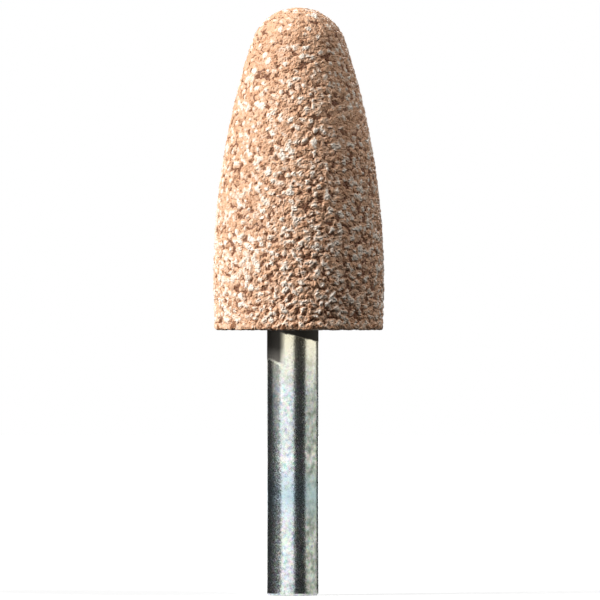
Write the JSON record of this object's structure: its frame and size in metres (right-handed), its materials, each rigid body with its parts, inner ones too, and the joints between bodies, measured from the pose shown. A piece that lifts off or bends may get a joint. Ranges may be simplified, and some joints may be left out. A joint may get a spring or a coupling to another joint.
{
  "type": "mounted point",
  "caption": "Bullet-shaped abrasive grinding stone cemented on a straight steel shank, spun in a collet to grind, shape and deburr.",
  "frame": {"origin": "centre of the shank's lower end face, on the shank's axis", "axes": "+Z along the shank's axis from its free end to the stone's nose; +X the side to which the stone is set off the axis; -Y faces the viewer of the picture"},
  "size_m": [0.01, 0.01, 0.0342],
  "materials": {
    "abrasive": "matte",
    "cement": "matte",
    "steel": "satin"
  },
  "bodies": {
    "root": {"stone": "abrasive", "cement": "cement", "shank": "steel"}
  },
  "joints": []
}
